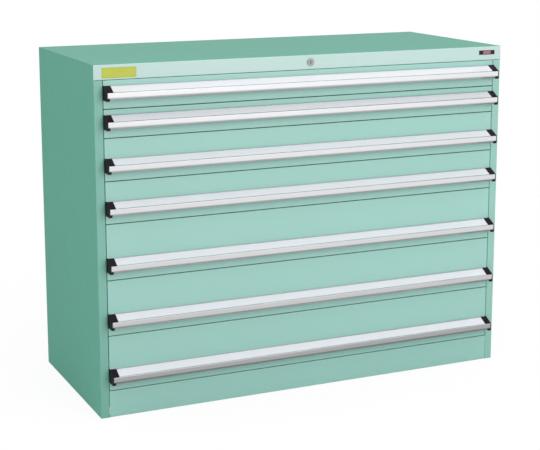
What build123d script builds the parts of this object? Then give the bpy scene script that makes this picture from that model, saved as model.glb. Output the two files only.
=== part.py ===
from build123d import *
import os
from math import asin, cos, degrees, radians, sin

# A steel drawer cabinet. The front faces -Y, +X is to the right and +Z is up.
# The origin is on the floor, under the middle of the box that holds the closed cabinet.

# Overall sizes, in millimetres
cabinet_width = 1300
carcass_depth = 550
header_height = 42
plinth_height = 78
drawer_step = 40
steps_per_drawer = (2, 2, 3, 3, 4, 4, 4)

# Shell sheets
shell_sheet = 1.2
shell_inner_bend = 0.8
shell_seam = 0.5
shell_flange = 15
stile_width = 25
front_return = 20
overrun = 5

# Back panel and its screws
back_flange = 18
back_edge_gap = 0.8
screw_radius = 1.9
screw_clearance = 0.2
screw_head_radius = 4.2
screw_head_height = 2.2
screw_length = 8
back_screw_shares = (0.06, 0.28, 0.5, 0.72, 0.9)

# Floor tray and the two rails that carry it
tray_flange = 20
base_rail_inset = 50
base_rail_width = 50
base_rail_sheet = 2
base_rail_inner_bend = 2
base_rail_end_gap = 30
anchor_radius = 7
anchor_end_distance = 52.7

# Uprights inside the side panels
post_sheet = 1.5
post_inner_bend = 1
post_rise = 14.8
post_face = 30
rear_post_gap = 15

# Drawer suspension: a fixed rail on the uprights, a channel on the drawer and two rollers a side
rail_sheet = 2
rail_inner_bend = 0.5
rail_width = 14
rail_setback = 2
rail_rear_overhang = 8
rail_lift = 10
channel_width = 12
channel_gap = 1
channel_setback = 2
roller_radius = 11.7
roller_tread_clearance = 0.3
roller_width = 7
roller_margin = 3
stud_radius = 3
stud_clearance = 0.05
shoulder_radius = 4.5
stud_head = 1
face_clearance = 0.3
front_roller_margin = 2.3
rear_roller_margin = 8.3
open_roller_spacing = 62.4
stop_clearance = 0.3

# Drawer boxes
box_sheet = 1
box_corner = 3
box_lift = 6
box_drop = 14
box_rear_space = 27
rim_height = 7
rim_sheet = 2.4

# Drawer fronts
front_sheet = 1.2
front_edge = 1.6
front_gap = 2
front_side_gap = 1.5
front_depth = 18
front_flange = 14

# Pulls: an extruded section with a sloping label bed over a finger recess
pull_projection = 34
pull_lift = 25
pull_wall = 2
pull_top_land = 3
pull_nose_height = 20
pull_slope_rise = 17
pull_nose_radius = 8
pull_lip_flat = 1.5
pull_crease_radius = 0.8
pull_overhang = 0.5
label_hook_sheet = 0.8
label_hook_root = 1
label_hook_reach = 3
label_gap = 1.2
label_bed_wall = 1.6

# End caps of the pulls
cap_sheet = 2.5
cap_foot_height = 3
cap_foot_wrap = 5
cap_foot_width = 6
cap_foot_radius = 3
cap_cover_sheet = 0.6
cap_cover_margin = 1.5
cap_insert_width = 17
cap_insert_clearance = 0.2

# Lock
plug_radius = 7
plug_clearance = 0.05
lock_body_wall = 2.45
lock_hole_clearance = 0.1
lock_bezel_rim = 1.5
lock_bezel_height = 2.5
lock_bezel_edge = 0.8
lock_nut_rim = 5.5
lock_nut_height = 5
plug_tail = 6
key_slot_width = 2.2
key_slot_height = 9
key_slot_depth = 12
lock_swing = 90

# Lock train: cam, link, bell crank and locking bar
cam_throw = 10
cam_hub_radius = 8
cam_eye_radius = 4.5
cam_end_gap = 0.3
train_sheet = 2
train_gap = 1
train_pin_radius = 2
train_slot_clearance = 0.5
post_gap = 0.5
bar_setback = 5.5
link_height = 14
link_end = 6
guide_head_radius = 4
guide_head = 1.2
link_guide_shares = (0.3, 0.7)
crank_arm = 20
crank_hub_radius = 6.5
crank_eye_radius = 4.5
crank_pivot_radius = 3
crank_pivot_clearance = 0.05
crank_washer = 1.5
crank_head_radius = 4.6
bracket_screw_edge = 5
bracket_reach = 12
bracket_flange = 24
bracket_screw_spacing = 10
bar_width = 12
bar_tail = 15
bar_end = 6
lugs_above_guide_counts = (2, 6)

# Locking lugs on the bar, and the tab on each drawer that they stop
lug_sheet = 2
lug_height = 6
lug_box_gap = 5
lug_rail_gap = 3
tab_sheet = 2
tab_gap = 3
tab_height = 12
tab_depth = 15
tab_side_gap = 3
tab_play = 2

# Name plate, blank
plate_width = 55
plate_height = 13
plate_sheet = 1.2
plate_edge = 0.5
plate_end_distance = 22
plate_top_distance = 12

# Places that follow from the sizes
half_width = cabinet_width / 2
drawer_stack = drawer_step * sum(steps_per_drawer)
cabinet_height = header_height + drawer_stack + plinth_height
front_y = -(carcass_depth + pull_projection) / 2 + pull_projection
back_y = front_y + carcass_depth
header_z = cabinet_height - header_height
plinth_z = plinth_height - front_gap / 2
tray_z = plinth_z - shell_sheet
base_z = tray_z - shell_sheet
ceiling_z = cabinet_height - shell_sheet
web_x = half_width - shell_sheet
opening_x = half_width - stile_width

screw_hole_radius = screw_radius + screw_clearance
back_outer_y = back_y - screw_head_height
back_inner_y = back_outer_y - shell_sheet
interior_y = back_inner_y - shell_sheet

base_rail_x = half_width - base_rail_inset - base_rail_width / 2
base_rail_y = (front_y + front_return + base_rail_end_gap, interior_y - base_rail_end_gap)
anchor_places_y = (base_rail_y[0] + anchor_end_distance, base_rail_y[1] - anchor_end_distance)

bar_front_y = front_y + front_return + bar_setback
bar_back_y = bar_front_y + train_sheet
crank_front_y = bar_back_y + train_gap
crank_back_y = crank_front_y + train_sheet
post_front_y = crank_back_y + post_gap
rear_post_y = interior_y - rear_post_gap - post_face

post_x = web_x - post_rise
rail_x = post_x - rail_width
channel_x = rail_x - channel_gap
box_x = channel_x - channel_width
rail_height = 2 * (roller_radius + roller_tread_clearance + rail_sheet)
rail_start_y = front_y + front_return + rail_setback
rail_end_y = rear_post_y + post_face + rail_rear_overhang

box_front_y = front_y + front_depth
box_rear_y = interior_y - box_rear_space
front_roller_y = rail_start_y + roller_radius + front_roller_margin
rear_roller_y = box_rear_y - roller_radius - rear_roller_margin
drawer_travel = rear_roller_y - front_roller_y - open_roller_spacing
front_tip_x = -(box_x + rail_sheet + roller_margin / 2 + stud_head)
rear_tip_x = -(post_x - rail_sheet - roller_margin / 2 - stud_head)

front_x = opening_x - front_side_gap
cap_x = front_x + pull_overhang
pull_x = cap_x - cap_sheet
pull_nose_lip = pull_nose_radius + pull_lip_flat

lug_lift = rail_lift + rail_height + lug_rail_gap
tab_lift = lug_lift + lug_height + tab_gap
tab_x = opening_x - tab_side_gap
lug_x = box_x + lug_box_gap
tab_y = bar_front_y + tab_play

lock_body_radius = plug_radius + plug_clearance + lock_body_wall
lock_z = cabinet_height - header_height / 2
half_swing = radians(lock_swing / 2)
lock_travel = 2 * cam_throw * sin(half_swing)
cam_pin_drop = cam_throw * (1 - cos(half_swing))
link_z = lock_z + cam_throw - cam_pin_drop / 2
cam_back_y = bar_front_y - train_gap
cam_front_y = cam_back_y - train_sheet
lock_body_y = cam_front_y - cam_end_gap
half_crank = asin(lock_travel / 2 / crank_arm)
crank_pin_drop = crank_arm * (1 - cos(half_crank))
crank_mean_arm = crank_arm - crank_pin_drop / 2
bar_x = -(web_x - post_rise / 2)
crank_x = bar_x + crank_mean_arm
crank_z = link_z - crank_mean_arm
bracket_y = crank_back_y + crank_washer
bracket_height = bracket_screw_spacing + 2 * bracket_screw_edge
bar_top_z = crank_z - lock_travel / 2 + bar_end


def block(x, y, z):
    """A box between two limits along each axis."""
    size = [high - low for low, high in (x, y, z)]
    middle = [(high + low) / 2 for low, high in (x, y, z)]
    return Pos(*middle) * Box(*size)


def along(axis, section, span):
    """A section drawn in the two other axes, extruded between two limits along this one."""
    plane, start = {"x": (Plane.YZ, span[0]), "y": (Plane.XZ, -span[1]), "z": (Plane.XY, span[0])}[axis]
    return extrude(plane.offset(start) * section, amount=span[1] - span[0])


def rod(axis, radius, centre, span):
    """A round bar along an axis, about a centre given in the two other axes."""
    return along(axis, Pos(*centre) * Circle(radius), span)


def slot(centre, size, y):
    """A round-ended cutter along Y, with its overall size in X and Z."""
    length, width = max(size), min(size)
    turn = 0 if size[0] > size[1] else 90
    return along("y", Pos(*centre) * SlotOverall(length, width, rotation=turn), y)


def turn_of(before, after):
    """Which way a path turns from one direction to the next: above 0 is to the left."""
    return before.X * after.Y - before.Y * after.X


def folded(points, sheet, inner_bend):
    """The section of a folded sheet that lies to the left of its outer points."""
    outer_bend = inner_bend + sheet
    outer = [Vector(*point) for point in points]
    runs = [(end - start).normalized() for start, end in zip(outer, outer[1:])]
    sides = [Vector(-run.Y, run.X) for run in runs]
    inner = [outer[0] + sides[0] * sheet]
    outer_radii, inner_radii = [0], [0]
    for i, corner in enumerate(outer[1:-1]):
        share = sheet / (1 + sides[i].dot(sides[i + 1]))
        inner.append(corner + (sides[i] + sides[i + 1]) * share)
        left = turn_of(runs[i], runs[i + 1]) > 0
        outer_radii.append(outer_bend if left else inner_bend)
        inner_radii.append(inner_bend if left else outer_bend)
    inner.append(outer[-1] + sides[-1] * sheet)
    outer_radii.append(0)
    inner_radii.append(0)
    radii = outer_radii + inner_radii[::-1]
    return make_face(FilletPolyline(*outer, *inner[::-1], radius=radii, close=True))


def eyed_plate(eyes, y):
    """A plate along Y that wraps round eyes, each given by its centre and radius."""
    circles = [Pos(*centre) * Circle(radius) for centre, radius in eyes]
    return along("y", make_hull([edge for circle in circles for edge in circle.edges()]), y)


def both_sides(shape):
    """A left-hand piece and its mirror image on the right."""
    return [shape, mirror(shape, about=Plane.YZ)]


def drawer_floors():
    """The height at which each drawer's bay begins, from the top drawer down."""
    floors = []
    level = plinth_height + drawer_stack
    for steps in steps_per_drawer:
        level -= steps * drawer_step
        floors.append(level)
    return floors


def back_screw_places():
    """Where the back panel's screws stand, in X and Z."""
    x = web_x - back_flange / 2
    return [(side * x, share * cabinet_height) for side in (-1, 1) for share in back_screw_shares]


def bracket_screw_places():
    """Where the crank bracket's screws stand, in Y and Z."""
    y = bracket_y + train_sheet + bracket_flange / 2
    return [(y, crank_z + side * bracket_screw_spacing / 2) for side in (-1, 1)]


def top_panel():
    """The lid, folded down at the front as the header and at the back as a short flange."""
    points = [
        (front_y + front_return, header_z),
        (front_y, header_z),
        (front_y, cabinet_height),
        (back_y, cabinet_height),
        (back_y, cabinet_height - shell_flange),
    ]
    # The section is walked with its sheet on the right, so it is drawn backwards
    panel = along("x", folded(points[::-1], shell_sheet, shell_inner_bend), (-half_width, half_width))
    notch_x = (web_x - shell_seam, half_width + overrun)
    notch_y = (front_y + shell_sheet, back_y + overrun)
    notch_z = (header_z - overrun, ceiling_z)
    for notch in both_sides(block(notch_x, notch_y, notch_z)):
        panel -= notch
    hole_radius = lock_body_radius + lock_hole_clearance
    panel -= rod("y", hole_radius, (0, lock_z), (front_y - overrun, front_y + front_return / 2))
    for stud in link_guides():
        panel += stud
    return panel


def link_guide_places():
    """Where the studs that carry the link stand along X."""
    return [share * crank_x for share in link_guide_shares]


def link_guides():
    """Headed studs on the back of the header, which the link slides on."""
    studs = []
    for x in link_guide_places():
        shank = rod("y", train_pin_radius, (x, link_z), (front_y + shell_sheet, bar_back_y + train_gap))
        head_y = bar_back_y + train_gap
        studs.append(shank + rod("y", guide_head_radius, (x, link_z), (head_y, head_y + guide_head)))
    return studs


def side_panel():
    """The left side, folded in at the front as the stile and at the back as a screw flange."""
    stile_top = header_z - shell_seam
    front = [
        (-opening_x, front_y + front_return),
        (-opening_x, front_y),
        (-half_width, front_y),
        (-half_width, back_y),
    ]
    panel = along("z", folded(front[::-1], shell_sheet, shell_inner_bend), (0, stile_top))
    web_y = (front_y + shell_sheet + shell_seam, back_y)
    panel += block((-half_width, -web_x), web_y, (stile_top - shell_flange, ceiling_z))
    inner_y = (front_y + front_return, interior_y)
    flange_x = (-web_x, -web_x + shell_flange)
    panel += block(flange_x, (web_y[0] + shell_flange, interior_y), (ceiling_z - shell_sheet, ceiling_z))
    panel += block(flange_x, inner_y, (0, shell_sheet))
    rear_x = (-web_x, -web_x + back_flange)
    panel += block(rear_x, (interior_y, back_inner_y), (0, ceiling_z))
    for x, z in back_screw_places():
        if x < 0:
            panel -= rod("y", screw_hole_radius, (x, z), (interior_y - overrun, back_y + overrun))
    return panel


def back_panel():
    """A flat sheet, screwed on from behind between the sides."""
    x = web_x - back_edge_gap
    top_z = cabinet_height - shell_sheet - back_edge_gap
    panel = block((-x, x), (back_inner_y, back_outer_y), (back_edge_gap, top_z))
    for place in back_screw_places():
        panel -= rod("y", screw_hole_radius, place, (interior_y, back_y))
    return panel


def bottom_panel():
    """The floor of the carcass, with its sides folded down."""
    points = [
        (-web_x, tray_z - tray_flange),
        (-web_x, tray_z),
        (web_x, tray_z),
        (web_x, tray_z - tray_flange),
    ]
    section = folded(points[::-1], shell_sheet, shell_inner_bend)
    return along("y", section, (front_y + front_return + shell_seam, interior_y))


def plinth_panel():
    """The panel between the stiles under the lowest drawer, folded back at both edges."""
    points = [
        (front_y + front_return, 0),
        (front_y, 0),
        (front_y, plinth_z),
        (front_y + front_return + tray_flange, plinth_z),
    ]
    x = opening_x - shell_seam
    return along("x", folded(points[::-1], shell_sheet, shell_inner_bend), (-x, x))


def base_rails():
    """Two channels under the floor tray, with two anchor holes in each lower flange."""
    outer_x = base_rail_x + base_rail_width / 2
    inner_x = base_rail_x - base_rail_width / 2
    points = [(-outer_x, 0), (-inner_x, 0), (-inner_x, base_z), (-outer_x, base_z)]
    rail = along("y", folded(points, base_rail_sheet, base_rail_inner_bend), base_rail_y)
    for y in anchor_places_y:
        rail -= rod("z", anchor_radius, (-base_rail_x, y), (-overrun, base_rail_sheet + overrun))
    return both_sides(rail)


def rail_posts():
    """Four channel uprights, with the locking bar's guide studs on the front left one."""
    posts = []
    height = (tray_z, ceiling_z - shell_sheet)
    for y in (post_front_y, rear_post_y):
        points = [(-web_x, y), (-post_x, y), (-post_x, y + post_face), (-web_x, y + post_face)]
        posts.append(along("z", folded(points, post_sheet, post_inner_bend), height))
    left_front, left_rear = posts
    right_front = mirror(left_front, about=Plane.YZ)
    for y, z in bracket_screw_places():
        left_front -= rod("x", screw_hole_radius, (y, z), (-web_x, -post_x + overrun))
    for z in bar_guide_heights():
        left_front += bar_guide(z)
    return [left_front, right_front, *both_sides(left_rear)]


def lug_heights():
    """The middle of each locking lug with the lock open."""
    return [floor + lug_lift + lug_height / 2 for floor in drawer_floors()]


def bar_guide_heights():
    """The locking bar's guide studs stand midway between two lugs."""
    lugs = lug_heights()
    return [(lugs[count - 1] + lugs[count]) / 2 for count in lugs_above_guide_counts]


def bar_guide(z):
    """A headed stud on the front of the upright."""
    head_y = bar_front_y - train_gap
    shank = rod("y", train_pin_radius, (bar_x, z), (head_y, post_front_y + post_sheet))
    return shank + rod("y", guide_head_radius, (bar_x, z), (head_y - guide_head, head_y))


def headed_stud(root_x, tip_x, y, z):
    """A shouldered, riveted stud along X that carries a roller near its tip."""
    way = 1 if tip_x > root_x else -1
    inner_x = tip_x - way * (roller_width + 2 * face_clearance)
    shoulder = rod("x", shoulder_radius, (y, z), sorted((root_x, inner_x)))
    axle = rod("x", stud_radius, (y, z), sorted((inner_x, tip_x)))
    head = rod("x", shoulder_radius, (y, z), sorted((tip_x, tip_x + way * stud_head)))
    return shoulder + axle + head


def roller(tip_x, way, y, z):
    """A roller that runs on the axle behind a stud's head."""
    near, far = tip_x - way * face_clearance, tip_x - way * (face_clearance + roller_width)
    span = sorted((near, far))
    wheel = rod("x", roller_radius, (y, z), span)
    return wheel - rod("x", stud_radius + stud_clearance, (y, z), span)


def stud_height(floor):
    """The height of a drawer's roller studs."""
    return floor + rail_lift + rail_height / 2


def fixed_rail(floor):
    """The left rail of one drawer, with its front roller's stud and two roller stops."""
    low, high = floor + rail_lift, floor + rail_lift + rail_height
    points = [(-rail_x, low), (-post_x, low), (-post_x, high), (-rail_x, high)]
    # The channel opens towards the drawer, so its sheet is on the right of these points
    section = folded(points[::-1], rail_sheet, rail_inner_bend)
    rail = along("y", section, (rail_start_y, rail_end_y))
    web = -post_x + rail_sheet
    rail += headed_stud(web, front_tip_x, front_roller_y, stud_height(floor))
    closed_y = rear_roller_y + roller_radius + stop_clearance
    open_y = rear_roller_y - drawer_travel - roller_radius - stop_clearance
    stop_z = (low + rail_sheet, high - rail_sheet)
    for y in ((closed_y, closed_y + rail_sheet), (open_y - rail_sheet, open_y)):
        rail += block((web, -rail_x), y, stop_z)
    return rail


def fixed_rails():
    """All the rails on the uprights."""
    return [rail for floor in drawer_floors() for rail in both_sides(fixed_rail(floor))]


def drawer_tray(floor, height):
    """The welded sheet box of a drawer, with a thickened rim."""
    x, y = (-box_x, box_x), (box_front_y, box_rear_y)
    z = (floor + box_lift, floor + height - box_drop)
    outer = block(x, y, z)
    outer = fillet(outer.edges().filter_by(Axis.Z), box_corner)
    inner = block(
        (-box_x + box_sheet, box_x - box_sheet),
        (box_front_y + box_sheet, box_rear_y - box_sheet),
        (z[0] + box_sheet, z[1] + overrun),
    )
    inner = fillet(inner.edges().filter_by(Axis.Z), box_corner - box_sheet)
    tray = outer - inner
    rim_z = (z[1] - rim_height, z[1])
    rim = block(x, y, rim_z)
    rim = fillet(rim.edges().filter_by(Axis.Z), box_corner)
    rim_x = box_x - rim_sheet
    rim -= block((-rim_x, rim_x), (box_front_y + rim_sheet, box_rear_y - rim_sheet), rim_z)
    return tray + rim


def drawer_channel(floor):
    """The left channel of a drawer, open outwards, with its rear roller's stud."""
    low, high = floor + rail_lift, floor + rail_lift + rail_height
    points = [(-channel_x, low), (-box_x, low), (-box_x, high), (-channel_x, high)]
    section = folded(points, rail_sheet, rail_inner_bend)
    channel = along("y", section, (box_front_y + channel_setback, box_rear_y))
    web = -box_x - rail_sheet
    return channel + headed_stud(web, rear_tip_x, rear_roller_y, stud_height(floor))


def lock_tab(floor):
    """The angle on the drawer's left side that a locking lug stops."""
    z = (floor + tab_lift, floor + tab_lift + tab_height)
    lip = block((-tab_x, -box_x), (tab_y, tab_y + tab_sheet), z)
    return lip + block((-box_x - tab_sheet, -box_x), (tab_y, tab_y + tab_depth), z)


def drawer_box(floor, height):
    """The box, its two channels and its lock tab, welded face to face."""
    return [drawer_tray(floor, height), *both_sides(drawer_channel(floor)), lock_tab(floor)]


def rear_rollers(floor):
    """The rollers on the drawer, which run inside the fixed rails."""
    return both_sides(roller(rear_tip_x, -1, rear_roller_y, stud_height(floor)))


def front_rollers(floor):
    """The rollers on the fixed rails, which run inside the drawer's channels."""
    return both_sides(roller(front_tip_x, 1, front_roller_y, stud_height(floor)))


def drawer_front(floor, height):
    """A folded pan: a front sheet, four returns and a flange all round its back."""
    x = (-front_x, front_x)
    z = (floor + front_gap / 2, floor + height - front_gap / 2)
    pan = block(x, (front_y, box_front_y), z)
    face_edges = pan.edges().group_by(Axis.Y)[0]
    corner_edges = pan.edges().filter_by(Axis.Y)
    pan = fillet(face_edges + corner_edges, front_edge)
    hollow_x = (-front_x + front_sheet, front_x - front_sheet)
    hollow_y = (front_y + front_sheet, box_front_y - front_sheet)
    pan -= block(hollow_x, hollow_y, (z[0] + front_sheet, z[1] - front_sheet))
    window_x = (-front_x + front_flange, front_x - front_flange)
    window_z = (z[0] + front_flange, z[1] - front_flange)
    return pan - block(window_x, (front_y + front_sheet, box_front_y + overrun), window_z)


def pull_outline(floor):
    """The named heights of a pull above a drawer's floor: base, nose, crease and top."""
    base = floor + pull_lift
    nose = base + cap_foot_height
    crease = nose + pull_nose_height
    return base, nose, crease, crease + pull_slope_rise


def slope_point(floor, travelled, depth):
    """A point under the pull's slope, as a distance down it and a depth below it."""
    crease, top = pull_outline(floor)[2:]
    start = Vector(pull_top_land, top)
    run = (Vector(pull_projection, crease) - start).normalized()
    return start + run * travelled + Vector(run.Y, -run.X) * depth


def under_slope(floor, projection):
    """The point on the underside of the label bed at a distance from the front."""
    depth = label_hook_sheet + label_gap + label_bed_wall
    start = slope_point(floor, 0, depth)
    run = slope_point(floor, pull_wall, depth) - start
    return start + run * ((projection - start.X) / run.X)


def slope_length():
    """How far it is down the slope from the top land to the crease."""
    reach = pull_projection - pull_top_land
    return Vector(reach, pull_slope_rise).length


def pull_section(floor):
    """The extruded section of a pull, as distance from the front and height."""
    base, nose, crease, top = pull_outline(floor)
    length = slope_length()
    bed = label_hook_sheet + label_gap
    inner = pull_projection - pull_wall
    hooks = [
        (label_hook_reach, 0),
        (label_hook_reach, label_hook_sheet),
        (label_hook_root, label_hook_sheet),
        (label_hook_root, bed),
        (length - label_hook_root, bed),
        (length - label_hook_root, label_hook_sheet),
        (length - label_hook_reach, label_hook_sheet),
        (length - label_hook_reach, 0),
    ]
    before = [(0, nose), (0, top), (pull_top_land, top)]
    slope = [slope_point(floor, travelled, depth) for travelled, depth in hooks]
    after = [
        (pull_projection, crease),
        (pull_projection, nose),
        (pull_projection - pull_nose_lip, nose),
        (pull_projection - pull_nose_lip, nose + pull_wall),
        (inner, nose + pull_wall),
        under_slope(floor, inner),
        under_slope(floor, pull_wall),
        (pull_wall, nose),
    ]
    radii = [0] * (len(before) + len(slope) + len(after))
    radii[len(before) - 1] = pull_crease_radius
    radii[len(before) + len(slope)] = pull_crease_radius
    radii[len(before) + len(slope) + 1] = pull_nose_radius
    radii[len(before) + len(slope) + 4] = pull_nose_radius - pull_wall
    return FilletPolyline(*before, *slope, *after, radius=radii, close=True)


def out_of_front(outline, x):
    """A closed outline of distances from the front and heights, extruded along X."""
    face = mirror(make_face(outline), about=Plane.YZ)
    return along("x", Pos(front_y) * face, x)


def pull(floor):
    """The full-width pull of one drawer."""
    return out_of_front(pull_section(floor), (-pull_x, pull_x))


def filled_outline(floor, bottom, corner_radius):
    """The pull's outer shape down to a given height, as if it were solid."""
    crease, top = pull_outline(floor)[2:]
    points = [
        (0, bottom),
        (0, top),
        (pull_top_land, top),
        (pull_projection, crease),
        (pull_projection, bottom),
    ]
    radii = [0, 0, pull_crease_radius, pull_crease_radius, corner_radius]
    return FilletPolyline(*points, radius=radii, close=True)


def slope_strip(floor, along_slope, depths):
    """A closed outline between two distances down the pull's slope and two depths below it."""
    corners = [(travelled, depth) for travelled in along_slope for depth in depths]
    corners[2:] = reversed(corners[2:])
    return Polyline(*[slope_point(floor, *corner) for corner in corners], close=True)


def end_cap(floor):
    """The left cap: an end plate, an inlay and cover on the label bed and a foot round the nose."""
    base, nose = pull_outline(floor)[:2]
    cap = out_of_front(filled_outline(floor, base, cap_foot_radius), (-cap_x, -pull_x))
    foot_x = (-pull_x, -pull_x + cap_foot_width)
    nose_y = front_y - pull_projection
    foot = block(foot_x, (nose_y, nose_y + pull_nose_lip), (base, nose + cap_foot_wrap))
    foot = fillet(foot.edges().filter_by(Axis.X).group_by(Axis.Z)[0], cap_foot_radius)
    hollow = filled_outline(floor, nose - cap_insert_clearance, pull_nose_radius)
    foot -= out_of_front(hollow, foot_x)
    near = label_hook_reach + cap_insert_clearance
    bed = label_hook_sheet + label_gap
    inlay = slope_strip(floor, (near, slope_length() - near), (0, bed))
    edges = (cap_cover_margin, slope_length() - cap_cover_margin)
    cover = slope_strip(floor, edges, (-cap_cover_sheet, 0))
    insert_end = -pull_x + cap_insert_width
    cap += out_of_front(inlay, (-pull_x, insert_end))
    return cap + out_of_front(cover, (-cap_x, insert_end)) + foot


def lock_body():
    """The lock's case, with its bezel in front of the header and its nut behind."""
    case = rod("y", lock_body_radius, (0, lock_z), (front_y, lock_body_y))
    bezel_radius = lock_body_radius + lock_bezel_rim
    bezel = rod("y", bezel_radius, (0, lock_z), (front_y - lock_bezel_height, front_y))
    bezel = fillet(bezel.edges().group_by(Axis.Y)[0], lock_bezel_edge)
    nut_y = (front_y + shell_sheet, front_y + shell_sheet + lock_nut_height)
    nut_section = RegularPolygon(lock_body_radius + lock_nut_rim, 6)
    nut = along("y", Pos(0, lock_z) * nut_section, nut_y)
    body = case + bezel + nut
    return body - rod("y", plug_radius + plug_clearance, (0, lock_z), (front_y - overrun, back_y))


def lock_plug():
    """The plug that a key turns, with a square tail for the cam."""
    plug = rod("y", plug_radius, (0, lock_z), (front_y - lock_bezel_height, lock_body_y))
    tail = Pos(0, lock_z) * Rectangle(plug_tail, plug_tail)
    plug += along("y", tail, (lock_body_y, cam_back_y))
    slot_x = (-key_slot_width / 2, key_slot_width / 2)
    slot_z = (lock_z - key_slot_height / 2, lock_z + key_slot_height / 2)
    slot_y = (front_y - lock_bezel_height - overrun, front_y - lock_bezel_height + key_slot_depth)
    return plug - block(slot_x, slot_y, slot_z)


def cam_pin_place(swing):
    """Where the cam's pin stands at a turn from the middle of its swing."""
    return cam_throw * sin(swing), lock_z + cam_throw * cos(swing)


def lock_cam():
    """The cam on the plug's tail, with a pin that drives the link."""
    pin = cam_pin_place(-half_swing)
    eyes = [((0, lock_z), cam_hub_radius), (pin, cam_eye_radius)]
    cam = eyed_plate(eyes, (cam_front_y, cam_back_y))
    side = plug_tail + 2 * plug_clearance
    hole = Pos(0, lock_z) * Rectangle(side, side)
    cam -= along("y", hole, (cam_front_y - overrun, cam_back_y + overrun))
    return cam + rod("y", train_pin_radius, pin, (cam_back_y, bar_back_y + train_gap))


def slot_size(rise):
    """The width and height of a slot whose pin also shifts along it."""
    width = 2 * (train_pin_radius + train_slot_clearance)
    return width, width + rise


def lock_link():
    """The flat link behind the header, from the cam to the bell crank."""
    left_x, right_x = crank_x - lock_travel / 2, -lock_travel / 2
    x = (left_x - link_end, right_x + link_end)
    z = (link_z - link_height / 2, link_z + link_height / 2)
    link = block(x, (bar_front_y, bar_back_y), z)
    link = fillet(link.edges().filter_by(Axis.Y), link_end / 2)
    cut_y = (bar_front_y - overrun, bar_back_y + overrun)
    link -= slot((right_x, link_z), slot_size(cam_pin_drop), cut_y)
    link -= slot((left_x, link_z), slot_size(crank_pin_drop), cut_y)
    width, length = slot_size(lock_travel)
    for guide_x in link_guide_places():
        link -= slot((guide_x - lock_travel / 2, link_z), (length, width), cut_y)
    return link


def bell_crank():
    """The crank that turns the link's sideways travel into the bar's lift."""
    centre = (crank_x, crank_z)
    along_arm, across_arm = crank_arm * cos(half_crank), crank_arm * sin(half_crank)
    up = (crank_x - across_arm, crank_z + along_arm)
    left = (crank_x - along_arm, crank_z - across_arm)
    crank = rod("y", crank_hub_radius, centre, (crank_front_y, crank_back_y))
    for pin in (up, left):
        eyes = [(centre, crank_hub_radius), (pin, crank_eye_radius)]
        crank += eyed_plate(eyes, (crank_front_y, crank_back_y))
        crank += rod("y", train_pin_radius, pin, (bar_front_y - train_gap, crank_front_y))
    bore = crank_pivot_radius + crank_pivot_clearance
    return crank - rod("y", bore, centre, (crank_front_y - overrun, crank_back_y + overrun))


def crank_bracket():
    """The angle on the upright that carries the bell crank's pivot."""
    z = (crank_z - bracket_height / 2, crank_z + bracket_height / 2)
    plate_y = (bracket_y, bracket_y + train_sheet)
    reach = max(crank_x + bracket_reach, -post_x + bracket_reach)
    bracket = block((-post_x, reach), plate_y, z)
    flange_y = (bracket_y, bracket_y + train_sheet + bracket_flange)
    bracket += block((-post_x, -post_x + train_sheet), flange_y, z)
    place = (crank_x, crank_z)
    bracket += rod("y", crank_head_radius, place, (crank_back_y + face_clearance, bracket_y))
    head_y = crank_front_y - face_clearance
    bracket += rod("y", crank_pivot_radius, place, (head_y, bracket_y))
    bracket += rod("y", crank_head_radius, place, (head_y - stud_head, head_y))
    for y, height in bracket_screw_places():
        bracket -= rod("x", screw_hole_radius, (y, height), (-post_x - overrun, -post_x + train_sheet))
    return bracket


def lock_bar():
    """The locking bar: a slotted strip with a riveted lug for each drawer."""
    lugs = lug_heights()
    x = (bar_x - bar_width / 2, bar_x + bar_width / 2)
    strip = block(x, (bar_front_y, bar_back_y), (lugs[-1] - bar_tail, bar_top_z))
    cut_y = (bar_front_y - overrun, bar_back_y + overrun)
    width, length = slot_size(lock_travel)
    for z in bar_guide_heights():
        strip -= slot((bar_x, z - lock_travel / 2), (width, length), cut_y)
    pin_width, pin_length = slot_size(crank_pin_drop)
    strip -= slot((bar_x, crank_z - lock_travel / 2), (pin_length, pin_width), cut_y)
    pieces = [strip]
    for z in lugs:
        lug_z = (z - lug_height / 2, z + lug_height / 2)
        pieces.append(block((x[0], -lug_x), (bar_front_y - lug_sheet, bar_front_y), lug_z))
    return pieces


def name_plate():
    """A blank plate on the right of the header."""
    x = (half_width - plate_end_distance - plate_width, half_width - plate_end_distance)
    top = cabinet_height - plate_top_distance
    plate = block(x, (front_y - plate_sheet, front_y), (top - plate_height, top))
    return fillet(plate.edges().group_by(Axis.Y)[0], plate_edge)


def panel_screws():
    """The screws of the back panel and of the crank bracket."""
    screws = []
    for place in back_screw_places():
        shank = rod("y", screw_radius, place, (back_inner_y - screw_length, back_outer_y))
        head = rod("y", screw_head_radius, place, (back_outer_y, back_y))
        screws.append(shank + head)
    seat = -post_x + train_sheet
    for place in bracket_screw_places():
        shank = rod("x", screw_radius, place, (seat - screw_length, seat))
        head = rod("x", screw_head_radius, place, (seat, seat + screw_head_height))
        screws.append(shank + head)
    return screws


def drawer_nodes():
    """The six nodes of each drawer, numbered from the top."""
    nodes = {}
    for number, floor in enumerate(drawer_floors(), start=1):
        height = drawer_step * steps_per_drawer[number - 1]
        nodes[f"drawer_box_{number}"] = drawer_box(floor, height)
        nodes[f"drawer_front_{number}"] = [drawer_front(floor, height)]
        nodes[f"pull_{number}"] = [pull(floor)]
        nodes[f"pull_end_caps_{number}"] = both_sides(end_cap(floor))
        nodes[f"rear_rollers_{number}"] = rear_rollers(floor)
        nodes[f"front_rollers_{number}"] = front_rollers(floor)
    return nodes


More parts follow.
